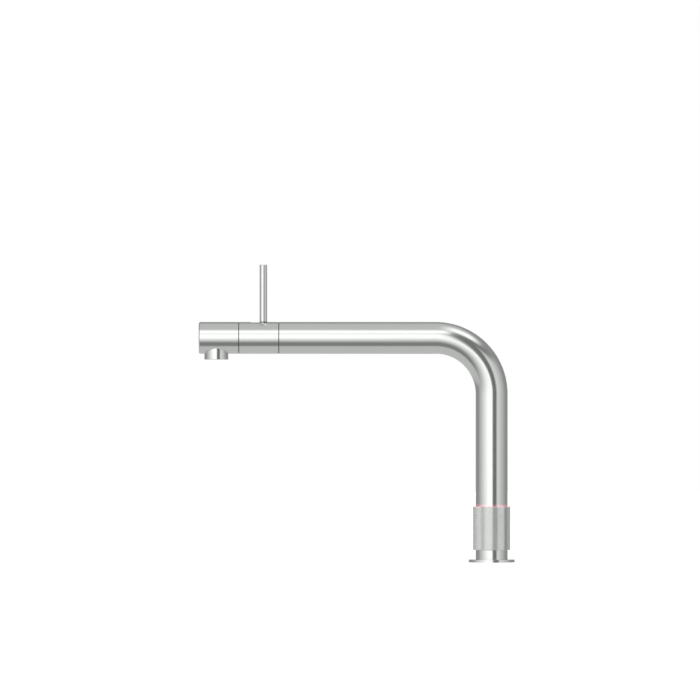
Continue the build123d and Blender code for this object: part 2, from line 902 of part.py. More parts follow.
def make_aerator_seal():
    radius = outlet_bore - 2 * fit - outlet_seal_d / 2
    place = Pos(-outlet_reach, 0, arm_height)
    return place * seal(radius, outlet_seal_d, aerator_top + fit / 2 + outlet_seal_d / 2)


def make_aerator_mesh():
    outer = outlet_bore - 2 * fit - aerator_wall
    low = aerator_low + mesh_depth
    return outlet_ring(outer, jet_d / 2 + fit, low, low + mesh_t)


# Jet for boiling water, in the aerator's middle
def make_boiling_jet():
    jet = outlet_cylinder(jet_d / 2, aerator_low + 2 * fit, chamber_top)
    return jet - outlet_cylinder(jet_bore_d / 2, aerator_low, chamber_top)


parts = {
    "base_flange": make_base_flange(),
    "deck_gasket": make_deck_gasket(),
    "base_column": make_base_column(),
    "threaded_shank": make_threaded_shank(),
    "rubber_washer": make_rubber_washer(),
    "clamp_washer": make_clamp_washer(),
    "fixing_nut": make_fixing_nut(),
    "port_plate": make_port_plate(),
    "port_gasket": make_port_gasket(),
    "inlet_manifold": make_inlet_manifold(),
    "manifold_seal": make_manifold_seal(),
    "cable_grommet": make_cable_grommet(),
    "sensor_board": make_sensor_board(),
    "column_clip": make_column_clip(),
    "light_board": make_light_board(),
    "light_emitters": make_light_emitters(),
    "light_ring": make_light_ring(),
    "swivel_seal": make_swivel_seal(),
    "push_spring": make_push_spring(),
    "push_carriage": make_push_carriage(),
    "carriage_clip": make_carriage_clip(),
    "ring_stop_pin": stop_pin(),
    "control_ring": make_control_ring(),
    "ring_liner": make_ring_liner(),
    "ring_magnets": make_ring_magnets(),
    "spout_tube": make_spout_tube(),
    "lower_swivel_bush": make_lower_bush(),
    "upper_swivel_bush": make_upper_bush(),
    "rear_glide_ring": make_glide_ring(rear_seam),
    "front_glide_ring": make_glide_ring(front_seam),
    "mixer_core": make_mixer_core(),
    "drag_ring": make_drag_ring(),
    "nozzle_seal": make_nozzle_seal(),
    "cartridge_base": make_cartridge_base(),
    "port_seals": make_port_seals(),
    "cartridge_housing": make_cartridge_housing(),
    "cartridge_cap": make_cartridge_cap(),
    "ball_seal": make_ball_seal(),
    "fixed_disc": make_fixed_disc(),
    "moving_disc": make_moving_disc(),
    "disc_driver": make_disc_driver(),
    "cross_slide": make_cross_slide(),
    "mixer_sleeve": make_mixer_sleeve(),
    "lever_ball": make_lever_ball(),
    "dust_dome": make_dust_dome(),
    "lever_rod": make_lever_rod(),
    "nozzle_body": make_nozzle_body(),
    "outlet_block": make_outlet_block(),
    "aerator_housing": make_aerator_housing(),
    "aerator_seal": make_aerator_seal(),
    "aerator_mesh": make_aerator_mesh(),
    "boiling_jet": make_boiling_jet(),
}
for water, angle in zip(("boiling", "hot", "cold"), hose_angles):
    parts[f"{water}_hose"] = make_hose(angle)

os.makedirs("parts", exist_ok=True)
for name, shape in parts.items():
    export_step(shape, f"parts/{name}.step")

print(f"hose diameter {2 * hose_r:.2f} mm")
print(f"flow travel {flow_travel:.3f} mm, mix travel {mix_travel:.3f} mm, ball {2 * ball_r:.2f} mm")
print(f"port circle {port_ring_radius():.3f} mm, tip arm {tip_arm:.3f} mm")
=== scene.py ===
import bmesh
import bpy
import json
import math
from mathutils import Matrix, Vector


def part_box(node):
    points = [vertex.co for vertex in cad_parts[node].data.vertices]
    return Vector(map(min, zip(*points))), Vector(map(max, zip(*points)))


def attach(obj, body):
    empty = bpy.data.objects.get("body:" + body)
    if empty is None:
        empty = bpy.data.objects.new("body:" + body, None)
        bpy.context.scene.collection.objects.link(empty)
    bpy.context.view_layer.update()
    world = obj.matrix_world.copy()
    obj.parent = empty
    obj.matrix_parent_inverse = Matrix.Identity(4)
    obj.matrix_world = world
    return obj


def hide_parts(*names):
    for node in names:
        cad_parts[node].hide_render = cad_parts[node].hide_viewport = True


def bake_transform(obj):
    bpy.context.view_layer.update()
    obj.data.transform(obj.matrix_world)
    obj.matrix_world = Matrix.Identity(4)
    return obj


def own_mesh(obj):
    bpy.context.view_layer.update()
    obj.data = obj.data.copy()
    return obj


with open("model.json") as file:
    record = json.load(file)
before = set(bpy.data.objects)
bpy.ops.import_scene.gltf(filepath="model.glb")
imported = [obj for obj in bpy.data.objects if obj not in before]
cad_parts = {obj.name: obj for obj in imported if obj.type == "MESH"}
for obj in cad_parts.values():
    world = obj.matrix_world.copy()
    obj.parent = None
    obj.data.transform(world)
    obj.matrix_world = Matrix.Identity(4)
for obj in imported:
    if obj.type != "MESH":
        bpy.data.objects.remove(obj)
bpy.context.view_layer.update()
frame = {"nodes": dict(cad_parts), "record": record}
print("frame loaded:", len(frame["nodes"]), "nodes")

touch = 0.000001                 # points closer than this are one point
near = 0.00001                   # and this is close enough to pick an edge by its place
overcut = 0.001                  # how far a cutter passes the face that it cuts


# camera: one pixel of the 700-pixel frame is one millimetre at the tap
cameraSetup = {
    "photoWidth": 700,           # pixels
    "columnPixel": 491.66,       # where the photograph has the column's axis
    "deckPixel": 562.2,          # where it has the flange's underside
    "metresPerPixel": 0.001,
    "distance": 10.0,
    "farEnd": 100.0,
    "sensor": 36.0,              # mm
}


def makeCamera():
    setup = cameraSetup
    width = setup["photoWidth"] * setup["metresPerPixel"]
    lens = bpy.data.cameras.new("camera")
    lens.sensor_width = setup["sensor"]
    lens.lens = setup["sensor"] * setup["distance"] / width
    lens.clip_end = setup["farEnd"]
    camera = bpy.data.objects.new("camera", lens)
    bpy.context.scene.collection.objects.link(camera)
    middle = setup["photoWidth"] / 2
    camera.location = (
        (middle - setup["columnPixel"]) * setup["metresPerPixel"],
        -setup["distance"],
        (setup["deckPixel"] - middle) * setup["metresPerPixel"],
    )
    camera.rotation_euler = (math.radians(90), 0, 0)
    bpy.context.scene.camera = camera


makeCamera()
bpy.context.scene.view_settings.view_transform = "Standard"
print("camera set")


# shader maths as plain expressions: a Number stands for a socket
class Number:
    def __init__(self, shader, socket):
        self.shader = shader
        self.socket = socket

    def maths(self, operation, first, second=None):
        inputs = {0: first} if second is None else {0: first, 1: second}
        return self.shader.number("ShaderNodeMath", {"operation": operation}, inputs)

    def __add__(self, other):
        return self.maths("ADD", self, other)

    def __radd__(self, other):
        return self.maths("ADD", other, self)

    def __sub__(self, other):
        return self.maths("SUBTRACT", self, other)

    def __rsub__(self, other):
        return self.maths("SUBTRACT", other, self)

    def __mul__(self, other):
        return self.maths("MULTIPLY", self, other)

    def __rmul__(self, other):
        return self.maths("MULTIPLY", other, self)

    def __truediv__(self, other):
        return self.maths("DIVIDE", self, other)

    def __rtruediv__(self, other):
        return self.maths("DIVIDE", other, self)

    def __pow__(self, other):
        return self.maths("POWER", self, other)

    def __neg__(self):
        return self.maths("MULTIPLY", self, -1.0)

    def __abs__(self):
        return self.maths("ABSOLUTE", self)

    def atLeast(self, other):
        return self.maths("MAXIMUM", self, other)

    def atMost(self, other):
        return self.maths("MINIMUM", self, other)


# one material's or the world's nodes
class Shader:
    def __init__(self, tree):
        self.tree = tree
        tree.nodes.clear()

    def add(self, kind, settings=None, inputs=None):
        node = self.tree.nodes.new(kind)
        for name, value in (settings or {}).items():
            setattr(node, name, value)
        for name, value in (inputs or {}).items():
            self.feed(node.inputs[name], value)
        return node

    def feed(self, socket, value):
        if isinstance(value, Number):
            value = value.socket
        if isinstance(value, bpy.types.NodeSocket):
            self.tree.links.new(value, socket)
        elif isinstance(value, tuple) and socket.type == "RGBA":
            socket.default_value = (*value, 1)
        else:
            socket.default_value = value

    def number(self, kind, settings, inputs):
        return Number(self, self.add(kind, settings, inputs).outputs[0])

    # a smooth step from start to end as the value goes from low to high
    def ease(self, value, low, high, start=0.0, end=1.0):
        inputs = {"Value": value, "From Min": low, "From Max": high, "To Min": start, "To Max": end}
        return self.number("ShaderNodeMapRange", {"interpolation_type": "SMOOTHSTEP"}, inputs)

    # the same in a straight line
    def line(self, value, low, high, start, end):
        inputs = {"Value": value, "From Min": low, "From Max": high, "To Min": start, "To Max": end}
        return self.number("ShaderNodeMapRange", {"clamp": True}, inputs)

    # 0 up to 1 between the first two values, and down again between the last two
    def hump(self, value, foot, top, fall, end):
        return self.ease(value, foot, top) * self.ease(value, fall, end, 1.0, 0.0)

    def blend(self, share, first, second):
        return share * (second - first) + first

    def mixColour(self, share, first, second):
        node = self.add("ShaderNodeMix", {"data_type": "RGBA"}, {0: share, 6: first, 7: second})
        return node.outputs[2]

    def place(self):
        node = self.add("ShaderNodeSeparateXYZ", None, {0: self.objectPlace()})
        return [Number(self, socket) for socket in node.outputs]

    def objectPlace(self):
        return self.add("ShaderNodeTexCoord").outputs["Object"]

    def vector(self, x, y, z):
        return self.add("ShaderNodeCombineXYZ", None, {0: x, 1: y, 2: z}).outputs[0]

    def noise(self, vector, scale, detail=2.0, roughness=0.5):
        inputs = {"Vector": vector, "Scale": scale, "Detail": detail, "Roughness": roughness}
        return self.number("ShaderNodeTexNoise", None, inputs)

    def bump(self, height, strength, distance):
        inputs = {"Height": height, "Strength": strength, "Distance": distance}
        return self.add("ShaderNodeBump", None, inputs).outputs[0]


def newMaterial(name):
    material = bpy.data.materials.new(name)
    material.use_nodes = True
    return material, Shader(material.node_tree)


# a material's base: a Principled shader on the output
def principled(shader, inputs):
    node = shader.add("ShaderNodeBsdfPrincipled", None, inputs)
    shader.add("ShaderNodeOutputMaterial", None, {"Surface": node.outputs[0]})


# the studio: all that shows in the metal. Azimuth 0 is towards the camera, and positive is to its right.
# Azimuths and heights are in degrees, slopes are steps to the side, back or up for one step away,
# and brightness is in plain light units.
studio = {
    "wall": 0.36,
    "frontGap": 0.2,             # dark room round the camera
    "gapEdge": (50.0, 110.0),
    "lowerGap": 0.27,            # and below it
    "lowerTop": (-30.0, -12.0),
    "lowerFront": (0.3, 0.6),
    "ceiling": 0.66,
    "ceilingEdge": (38.0, 66.0),
    "skylight": 1.45,
    "skylightSide": (0.02, 0.35, 0.62, 1.0),
    "skylightBack": (-0.72, -0.38, -0.05, 0.3),
    "skylightFoot": (20.0, 35.0),
    "floor": 0.66,
    "floorFront": (-0.66, -0.42),
    "floorEdge": (0.12, 0.32),
    "panelLight": (0.93, 0.35),  # panel on the right, near end to far end
    "panelSpan": (42.0, 117.0),
    "panelRight": (30.0, 41.0),
    "panelHeight": (-36.0, -22.0, 25.0, 37.0),
    "keyLight": 1.56,            # big soft light on the left of the camera
    "keyRim": 0.38,              # its far left end
    "keyFade": (-118.0, -26.0),
    "keyFall": 1.3,
    "keyRight": (0.02, 0.17),
    "keyLean": (0.11, 0.03),     # how its right edge leans over as it goes up
    "keyLeanTop": 1.6,
    "keyLow": (-36.0, 2.0),
    "keyTop": (49.0, 64.0),
    "keyBack": (-0.5, -0.1),
    "keyJoint": 0.57,            # height of the joint in it, as a slope
    "jointEdge": (0.02, 0.16),
    "jointSpan": (-0.1, 0.2),
    "jointShade": (0.16, 0.7),
    "jointFront": (0.2, 0.4),
    "backLight": 1.05,           # the pale wall behind the tap
    "backEdge": (164.0, 176.0),
    "backHeight": (-25.0, -5.0, 6.0, 19.0),
    "shallow": 0.001,            # least step away that a slope is worked out for
}


def makeStudio():
    world = bpy.data.worlds.new("studio")
    bpy.context.scene.world = world
    world.use_nodes = True
    shader = Shader(world.node_tree)
    coords = shader.add("ShaderNodeTexCoord").outputs["Generated"]
    split = shader.add("ShaderNodeSeparateXYZ", None, {0: coords})
    x, y, z = [Number(shader, socket) for socket in split.outputs]
    degrees = 180 / math.pi
    azimuth = x.maths("ARCTAN2", x, -y) * degrees
    height = x.maths("ARCSINE", z) * degrees
    front, up, down = [step.atLeast(studio["shallow"]) for step in (-y, z, -z)]
    light = litRoom(shader, y, azimuth, height)
    light = litCeiling(shader, light, x / up, y / up, height)
    onFloor = shader.ease(y / down, *studio["floorFront"]) * shader.ease(down, *studio["floorEdge"])
    light = shader.blend(onFloor, light, studio["floor"])
    light = litPanel(shader, light, azimuth, height)
    light = litKey(shader, light, y, x / front, z / front, azimuth, height)
    backdrop = shader.ease(abs(azimuth), *studio["backEdge"]) * shader.hump(height, *studio["backHeight"])
    light = shader.blend(backdrop, light, studio["backLight"])
    showWorld(shader, light)


def litRoom(shader, y, azimuth, height):
    light = shader.blend(shader.ease(abs(azimuth), *studio["gapEdge"]), studio["frontGap"], studio["wall"])
    lower = shader.ease(height, *studio["lowerTop"], 1.0, 0.0) * shader.ease(-y, *studio["lowerFront"])
    return shader.blend(lower, light, studio["lowerGap"])


def litCeiling(shader, light, side, back, height):
    light = shader.blend(shader.ease(height, *studio["ceilingEdge"]), light, studio["ceiling"])
    skylight = shader.hump(side, *studio["skylightSide"]) * shader.hump(back, *studio["skylightBack"])
    skylight = skylight * shader.ease(height, *studio["skylightFoot"])
    return shader.blend(skylight, light, studio["skylight"])


def litPanel(shader, light, azimuth, height):
    panel = shader.ease(azimuth, *studio["panelRight"]) * shader.hump(height, *studio["panelHeight"])
    return shader.blend(panel, light, shader.line(azimuth, *studio["panelSpan"], *studio["panelLight"]))


def litKey(shader, light, y, across, slope, azimuth, height):
    lift = slope.atLeast(0.0).atMost(studio["keyLeanTop"])
    curve, lean = studio["keyLean"]
    key = shader.ease(across - (lift * lift * curve + lift * lean), *studio["keyRight"], 1.0, 0.0)
    key = key * shader.line(height, *studio["keyLow"], 0.0, 1.0)
    key = key * shader.ease(height, *studio["keyTop"], 1.0, 0.0) * shader.ease(-y, *studio["keyBack"])
    joint = shader.ease(abs(slope - studio["keyJoint"]), *studio["jointEdge"], 1.0, 0.0)
    joint = joint * shader.line(across, *studio["jointSpan"], *studio["jointShade"])
    key = key * (1 - joint * shader.ease(-y, *studio["jointFront"]))
    nearness = shader.line(azimuth, *studio["keyFade"], 0.0, 1.0) ** studio["keyFall"]
    return shader.blend(key, light, shader.blend(nearness, studio["keyRim"], studio["keyLight"]))


# the camera sees plain white, and the metal sees the room
def showWorld(shader, light):
    room = shader.add("ShaderNodeBackground", None, {"Color": (1.0, 1.0, 1.0), "Strength": light})
    plain = shader.add("ShaderNodeBackground", None, {"Color": (1.0, 1.0, 1.0), "Strength": 1.0})
    path = shader.add("ShaderNodeLightPath")
    direct, through = path.outputs["Is Camera Ray"], path.outputs["Is Transmission Ray"]
    seen = Number(shader, direct).atLeast(Number(shader, through))
    both = shader.add("ShaderNodeMixShader", None, {0: seen, 1: room.outputs[0], 2: plain.outputs[0]})
    shader.add("ShaderNodeOutputWorld", None, {"Surface": both.outputs[0]})


lamps = {
    "keyLamp": {"place": (-1.4, -1.9, 1.9), "width": 1.4, "watts": 38.0},
    "fillLamp": {"place": (1.8, -1.2, 1.3), "width": 1.2, "watts": 14.0},
    "backLamp": {"place": (0.4, 2.2, 1.8), "width": 1.2, "watts": 16.0},
}


def makeLamps():
    for name, lamp in lamps.items():
        light = bpy.data.lights.new(name, "AREA")
        light.size = lamp["width"]
        light.energy = lamp["watts"]
        holder = bpy.data.objects.new(name, light)
        bpy.context.scene.collection.objects.link(holder)
        holder.location = lamp["place"]
        holder.rotation_euler = (-Vector(lamp["place"])).to_track_quat("-Z", "Y").to_euler()
        holder.visible_glossy = False    # the lights that the metal sees are in the world


makeStudio()
makeLamps()
print("studio lit")


# selecting and editing, as by hand
def clearSelection():
    if bpy.context.mode != "OBJECT":
        bpy.ops.object.mode_set(mode="OBJECT")
    bpy.ops.object.select_all(action="DESELECT")


def pickOnly(piece):
    clearSelection()
    piece.select_set(True)
    bpy.context.view_layer.objects.active = piece


def editPiece(piece, kind="VERT"):
    pickOnly(piece)
    bpy.ops.object.mode_set(mode="EDIT")
    bpy.ops.mesh.select_mode(type=kind)


def editAll(piece, kind="VERT"):
    editPiece(piece, kind)
    bpy.ops.mesh.select_all(action="SELECT")


def modify(piece, kind, **settings):
    pickOnly(piece)
    modifier = piece.modifiers.new(kind.lower(), kind)
    for name, value in settings.items():
        setattr(modifier, name, value)
    bpy.ops.object.modifier_apply(modifier=modifier.name)


floorSetup = {
    "radius": 5.0,
    "sides": 64,
    "glow": (0.8, 1.05),         # what the camera sees by the tap, and far from it
    "fade": (0.3, 0.9),
    "catch": (0.24, 0.24, 0.24), # how much of the tap's shade the camera sees
    "colour": (0.8, 0.8, 0.8),   # what lights the tap from below
}


def makeFloor():
    clearSelection()
    bpy.ops.mesh.primitive_circle_add(
        vertices=floorSetup["sides"], radius=floorSetup["radius"], fill_type="NGON"
    )
    floor = bpy.context.active_object
    floor.name = "floor"
    material, shader = newMaterial("paleFloor")
    path = shader.add("ShaderNodeLightPath")
    below = shader.add("ShaderNodeNewGeometry").outputs["Backfacing"]
    x, y, z = shader.place()
    glow = shader.ease((x * x + y * y) ** 0.5, *floorSetup["fade"], *floorSetup["glow"])
    white = shader.add("ShaderNodeEmission", None, {"Color": (1.0, 1.0, 1.0), "Strength": glow})
    shade = shader.add("ShaderNodeBsdfDiffuse", None, {"Color": floorSetup["catch"]})
    seen = shader.add("ShaderNodeAddShader", None, {0: white.outputs[0], 1: shade.outputs[0]})
    plain = shader.add("ShaderNodeBsdfDiffuse", None, {"Color": floorSetup["colour"]})
    top = shader.add(
        "ShaderNodeMixShader", None,
        {0: path.outputs["Is Camera Ray"], 1: plain.outputs[0], 2: seen.outputs[0]},
    )
    clear = shader.add("ShaderNodeBsdfTransparent")
    both = shader.add("ShaderNodeMixShader", None, {0: below, 1: top.outputs[0], 2: clear.outputs[0]})
    shader.add("ShaderNodeOutputMaterial", None, {"Surface": both.outputs[0]})
    floor.data.materials.append(material)
    floor.visible_glossy = False


makeFloor()


# sizes that the spout's pieces share, from the frame
tubeLow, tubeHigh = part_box("spout_tube")
tubeRadius = tubeHigh.y
armHeight = tubeHigh.z - tubeRadius
bendRadius = 0.056
bendX, bendZ = -bendRadius, armHeight - bendRadius


steel = {
    "colour": (0.735, 0.751, 0.73),
    "dark": (0.662, 0.678, 0.662),
    # the dark colour that a painted shadow darkens the steel towards
    "paintedShadow": (0.12, 0.12, 0.118),
    "roughness": 0.165,
    "roughSwing": (0.05, 0.04),  # by the grain and by the smudges
    "grain": 9000.0,             # brush marks in a metre across the grain
    "stretch": 0.012,            # how wide a mark is beside its length
    "streaks": 160.0,
    "streakStretch": 0.15,
    "smudges": 22.0,
    "shares": (0.55, 0.3, 0.15), # of grain, streaks and smudges in the shade
    "bump": 0.35,
    "depth": 0.000002,
    "uprightRadius": 0.012,      # metres of grain in one radian round an upright piece
}


# brush marks that run along the tube: straight, round the bend and straight again
def alongTube(shader):
    x, y, z = shader.place()
    outX, outZ = (x - bendX).atLeast(0.0), (z - bendZ).atLeast(0.0)
    across = (outX * outX + outZ * outZ) ** 0.5
    turned = across.maths("ARCTAN2", outZ, outX.atLeast(near)) * bendRadius
    along = (z - bendZ).atMost(0.0) + turned + (bendX - x).atLeast(0.0)
    return across, y, along


# brush marks that run round an upright axis
def roundUpright(shader):
    x, y, z = shader.place()
    angle = x.maths("ARCTAN2", y, x)
    across = (x * x + y * y) ** 0.5
    return across, z, angle * steel["uprightRadius"]


# brush marks that run straight up
def straightUp(shader):
    return shader.place()


# lift makes it paler, a painted brightening; glow and shadow are functions that give a painted glow and a
# share of painted shadow
def steelLook(name, grain, roughness=steel["roughness"], lift=1.0, glow=None, paintedShadow=None):
    material, shader = newMaterial(name)
    across, side, along = grain(shader)
    marks = shader.vector(across, side, along * steel["stretch"])
    fine = shader.noise(marks, steel["grain"], 3.0, 0.6)
    wide = shader.noise(shader.vector(across, side, along * steel["streakStretch"]), steel["streaks"])
    smudge = shader.noise(shader.objectPlace(), steel["smudges"], 3.0)
    fineShare, wideShare, smudgeShare = steel["shares"]
    shade = shader.ease(fine, 0.25, 0.75) * fineShare + wide * wideShare + smudge * smudgeShare
    dark, colour = [tuple(value * lift for value in steel[tone]) for tone in ("dark", "colour")]
    base = shader.mixColour(shade, dark, colour)
    # painted shadow: the base colour darkens towards the shadow colour by the function's share
    if paintedShadow:
        base = shader.mixColour(paintedShadow(shader), base, steel["paintedShadow"])
    fineSwing, smudgeSwing = steel["roughSwing"]
    inputs = {
        "Base Color": base,
        "Metallic": 1.0,
        "Roughness": roughness + (fine - 0.5) * fineSwing + (smudge - 0.5) * smudgeSwing,
        "Normal": shader.bump(fine, steel["bump"], steel["depth"]),
    }
    # painted glow: the steel emits the glow function's colour
    if glow:
        inputs["Emission Color"] = glow(shader)
        inputs["Emission Strength"] = 1.0
    principled(shader, inputs)
    return material


# the red light in the ring's mouth, and the glow from it that is painted as emission on the steel beside it
ringLight = {
    "colour": (0.6, 0.2, 0.2),
    "palerColour": (0.7, 0.28, 0.27),
    "lamp": (0.9, 0.17, 0.2),
    "palerLamp": (1.0, 0.25, 0.28),
    "strength": 1.6,
    "roughness": 0.42,
    "frost": 1800.0,
    # colours of the painted red glow on the spout's foot and on the ring's rim
    "spoutPaintedGlow": (0.41, 0.035, 0.1),
    "spoutSpan": (-0.0004, 0.0033),  # heights over the ring's mouth
    "rimPaintedGlow": (0.05, 0.006, 0.014),
    "rimReach": 0.002,
}


# painted glow: red emission on the foot of the spout, just over the ring's mouth, standing in for the ring's
# light
def paintedFootGlow(shader):
    x, y, z = shader.place()
    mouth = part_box("control_ring")[1].z
    low, high = ringLight["spoutSpan"]
    share = shader.ease(z, mouth + low, mouth + high, 1.0, 0.0)
    return shader.mixColour(share, (0.0, 0.0, 0.0), ringLight["spoutPaintedGlow"])


# and its faint painted trace on the ring's upper rim
def paintedRimGlow(shader):
    x, y, z = shader.place()
    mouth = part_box("control_ring")[1].z
    share = shader.ease(z, mouth - ringLight["rimReach"], mouth)
    return shader.mixColour(share, (0.0, 0.0, 0.0), ringLight["rimPaintedGlow"])


def lightLook():
    material, shader = newMaterial("frostedLight")
    frost = shader.noise(shader.objectPlace(), ringLight["frost"])
    share = shader.ease(frost, 0.2, 0.8)
    principled(shader, {
        "Base Color": shader.mixColour(share, ringLight["colour"], ringLight["palerColour"]),
        "Roughness": ringLight["roughness"] + (frost - 0.5) * 0.1,
        "Emission Color": shader.mixColour(share, ringLight["lamp"], ringLight["palerLamp"]),
        "Emission Strength": ringLight["strength"],
        "Normal": shader.bump(frost, 0.2, 0.00001),
    })
    return material


brass = {
    "colour": (0.78, 0.6, 0.31),
    "stained": (0.6, 0.43, 0.2),
    "roughness": 0.26,
    "turning": 5000.0,           # tool marks in a metre
    "stains": 90.0,
    "depth": 0.000004,
}


def brassLook():
    material, shader = newMaterial("turnedBrass")
    across, side, along = roundUpright(shader)
    fine = shader.noise(shader.vector(across, side, along * 0.05), brass["turning"])
    share = shader.ease(shader.noise(shader.objectPlace(), brass["stains"], 4.0), 0.35, 0.75)
    principled(shader, {
        "Base Color": shader.mixColour(share, brass["colour"], brass["stained"]),
        "Metallic": 1.0,
        "Roughness": brass["roughness"] + share * 0.16 + (fine - 0.5) * 0.1,
        "Normal": shader.bump(fine, 0.3, brass["depth"]),
    })
    return material


# rubber, plastics and ceramic: two shades, roughness, and pebbles in a metre
moulded = {
    "blackRubber": ((0.03, 0.03, 0.03), (0.018, 0.018, 0.02), 0.62, 2600.0),
    "darkPlastic": ((0.05, 0.05, 0.052), (0.03, 0.03, 0.032), 0.45, 3200.0),
    "palePlastic": ((0.82, 0.81, 0.77), (0.75, 0.74, 0.7), 0.4, 2400.0),
    "hosePlastic": ((0.75, 0.76, 0.78), (0.66, 0.68, 0.7), 0.34, 1500.0),
    "lappedCeramic": ((0.93, 0.92, 0.9), (0.86, 0.85, 0.83), 0.16, 4000.0),
}


def mouldedLook(name):
    colour, shade, roughness, pebbles = moulded[name]
    material, shader = newMaterial(name)
    grain = shader.noise(shader.objectPlace(), pebbles, 3.0)
    cloud = shader.noise(shader.objectPlace(), 60.0)
    principled(shader, {
        "Base Color": shader.mixColour(cloud, shade, colour),
        "Roughness": roughness + (grain - 0.5) * 0.12,
        "Normal": shader.bump(grain, 0.25, 0.00001),
    })
    return material


board = {
    "overCopper": (0.1, 0.36, 0.17),
    "varnish": (0.03, 0.16, 0.07),
    "roughness": 0.3,
    "tracks": 420.0,             # in a metre
    "trackWidth": (0.05, 0.12),
}


def boardLook():
    material, shader = newMaterial("varnishedBoard")
    tracks = shader.add(
        "ShaderNodeTexVoronoi", {"feature": "DISTANCE_TO_EDGE", "distance": "MANHATTAN"},
        {"Vector": shader.objectPlace(), "Scale": board["tracks"]},
    )
    share = shader.ease(Number(shader, tracks.outputs["Distance"]), *board["trackWidth"])
    principled(shader, {
        "Base Color": shader.mixColour(share, board["overCopper"], board["varnish"]),
        "Roughness": board["roughness"] + share * 0.12,
    })
    return material


# the finish of each of the record's material slots
looks = {
    "satin_steel": steelLook("satinSteel", straightUp),
    "knurled_steel": steelLook("knurledSteel", roundUpright, roughness=0.24),
    "plain_steel": steelLook("plainSteel", straightUp, roughness=0.32),
    "brass": brassLook(),
    "rubber": mouldedLook("blackRubber"),
    "dark_plastic": mouldedLook("darkPlastic"),
    "pale_plastic": mouldedLook("palePlastic"),
    "hose": mouldedLook("hosePlastic"),
    "ceramic": mouldedLook("lappedCeramic"),
    "circuit_board": boardLook(),
    "light": lightLook(),
}
for part in frame["record"]["subparts"]:
    for holder in frame["nodes"][part["node"]].material_slots:
        holder.material = looks[part["material_slot"]]
print("frame dressed:", len(looks), "finishes")


# goes on from the picked ring of points, at radius and height, through the given radii and heights
def carryOn(radius, height, outline):
    for nextRadius, nextHeight in outline:
        bpy.ops.mesh.extrude_region_move(TRANSFORM_OT_translate={"value": (0, 0, nextHeight - height)})
        scale = nextRadius / radius
        bpy.ops.transform.resize(value=(scale, scale, 1), center_override=(0, 0, nextHeight))
        radius, height = nextRadius, nextHeight


# an open round piece, drawn upright: a circle carried on from ring to ring
def turnRings(name, outline, sides):
    radius, height = outline[0]
    clearSelection()
    bpy.ops.mesh.primitive_circle_add(vertices=sides, radius=radius, location=(0, 0, 0))
    piece = bpy.context.active_object
    piece.name = name
    editAll(piece)
    bpy.ops.transform.translate(value=(0, 0, height))
    carryOn(radius, height, outline[1:])
    return piece


# the same, with its first ring joined to its last
def turnClosed(name, outline, sides):
    piece = turnRings(name, outline, sides)
    pickOpenEdges(piece)
    bpy.ops.mesh.bridge_edge_loops()
    outwards(piece)
    return piece


def makeDisc(name, radius, low, high, x, sides):
    disc = turnRings(name, [(radius, low), (radius, high)], sides)
    capEnds(disc)
    disc.location = (x, 0, 0)
    settle(disc)
    return disc


def pickOpenEdges(piece):
    editPiece(piece, "EDGE")
    bpy.ops.mesh.select_all(action="DESELECT")
    bpy.ops.mesh.select_non_manifold()


def capEnds(piece):
    pickOpenEdges(piece)
    bpy.ops.mesh.edge_face_add()
    outwards(piece)


def outwards(piece):
    editAll(piece)
    bpy.ops.mesh.remove_doubles(threshold=touch)
    bpy.ops.mesh.normals_make_consistent(inside=False)
    clearSelection()


# picks the edges whose two ends are both as asked
def pickEdges(piece, chosen, openOnly=False):
    editPiece(piece, "EDGE")
    bpy.ops.mesh.select_all(action="DESELECT")
    skin = bmesh.from_edit_mesh(piece.data)
    for edge in skin.edges:
        if edge.is_boundary or not openOnly:
            edge.select_set(all(chosen(vert.co) for vert in edge.verts))
    bmesh.update_edit_mesh(piece.data)


# rounds the edges that lie at one height; one segment makes a chamfer
def bevelRim(piece, z, width, segments=4):
    bevelEdges(piece, lambda point: abs(point.z - z) < touch, width, segments)


def bevelEdges(piece, chosen, width, segments):
    pickEdges(piece, chosen)
    bpy.ops.mesh.bevel(offset=width, segments=segments, profile=0.5, affect="EDGES")
    clearSelection()


def bevelSharp(piece, width, angle=50):
    modify(
        piece, "BEVEL", width=width, segments=2, limit_method="ANGLE", angle_limit=math.radians(angle)
    )


def combine(piece, operation, *helpers):
    for helper in helpers:
        modify(piece, "BOOLEAN", operation=operation, solver="EXACT", object=helper)
        bpy.data.objects.remove(helper)


def repeat(piece, count, step):
    modify(
        piece, "ARRAY", count=count, use_relative_offset=False, use_constant_offset=True,
        constant_offset_displace=step,
    )


def join(piece, other):
    pickOnly(piece)
    other.select_set(True)
    bpy.ops.object.join()


# smooth shading that keeps edges sharper than the angle
def shadeSmooth(piece, angle):
    pickOnly(piece)
    bpy.ops.object.shade_smooth_by_angle(angle=math.radians(angle))


# the same, with the flat faces left flat
def smooth(piece, angle=60):
    shadeSmooth(piece, angle)
    modify(piece, "WEIGHTED_NORMAL", keep_sharp=True, weight=80)


# a piece drawn upright on the origin, laid along the arm: up becomes -X
def layOnArm(piece):
    piece.rotation_euler = (0, math.radians(-90), 0)
    piece.location = (0, 0, armHeight)
    settle(piece)


def settle(piece):
    pickOnly(piece)
    bpy.ops.object.transform_apply(location=True, rotation=True, scale=True)


def dress(piece, material, node):
    settle(piece)
    piece.data.name = piece.name
    piece.data.materials.clear()
    piece.data.materials.append(material)
    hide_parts(node)
    print(piece.name, "done:", len(piece.data.polygons), "faces")


def hand(piece, material, body, node):
    dress(piece, material, node)
    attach(piece, body)


